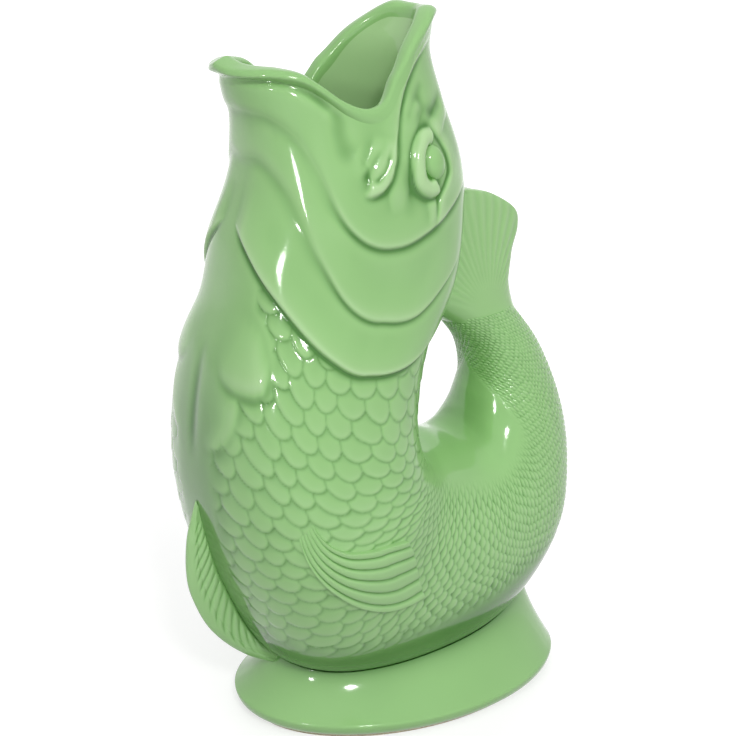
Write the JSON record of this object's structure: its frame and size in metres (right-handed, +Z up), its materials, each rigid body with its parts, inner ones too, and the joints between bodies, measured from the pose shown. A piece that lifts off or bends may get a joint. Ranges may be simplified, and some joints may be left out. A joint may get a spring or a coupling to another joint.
{
  "type": "gurgle jug",
  "caption": "Glazed earthenware jug shaped as an upright fish, pouring from its open mouth, with a hollow curled tail as its handle.",
  "frame": {"origin": "middle of the plinth's foot, on the table", "axes": "+Z up, -X the way the fish looks and pours, -Y the fish's left side"},
  "size_m": [0.1562, 0.1094, 0.2517],
  "materials": {
    "glaze": "glossy apple green glaze, darker where it pools in the relief",
    "bare_clay": "unglazed fired clay, wiped dry"
  },
  "bodies": {
    "root": {"foot_ring": "bare_clay", "plinth": "glaze", "belly": "glaze", "head": "glaze", "tail_handle": "glaze", "lip_rim": "glaze", "tail_fin": "glaze", "anal_fin": "glaze", "gill_cover_left": "glaze", "gill_cover_right": "glaze", "cheek_plate_left": "glaze", "cheek_plate_right": "glaze", "jaw_flap_left": "glaze", "jaw_flap_right": "glaze", "eye_left": "glaze", "eye_right": "glaze", "eyelid_left": "glaze", "eyelid_right": "glaze", "pectoral_fin_left": "glaze", "pectoral_fin_right": "glaze", "ventral_fin_left": "glaze", "ventral_fin_right": "glaze"}
  },
  "joints": []
}
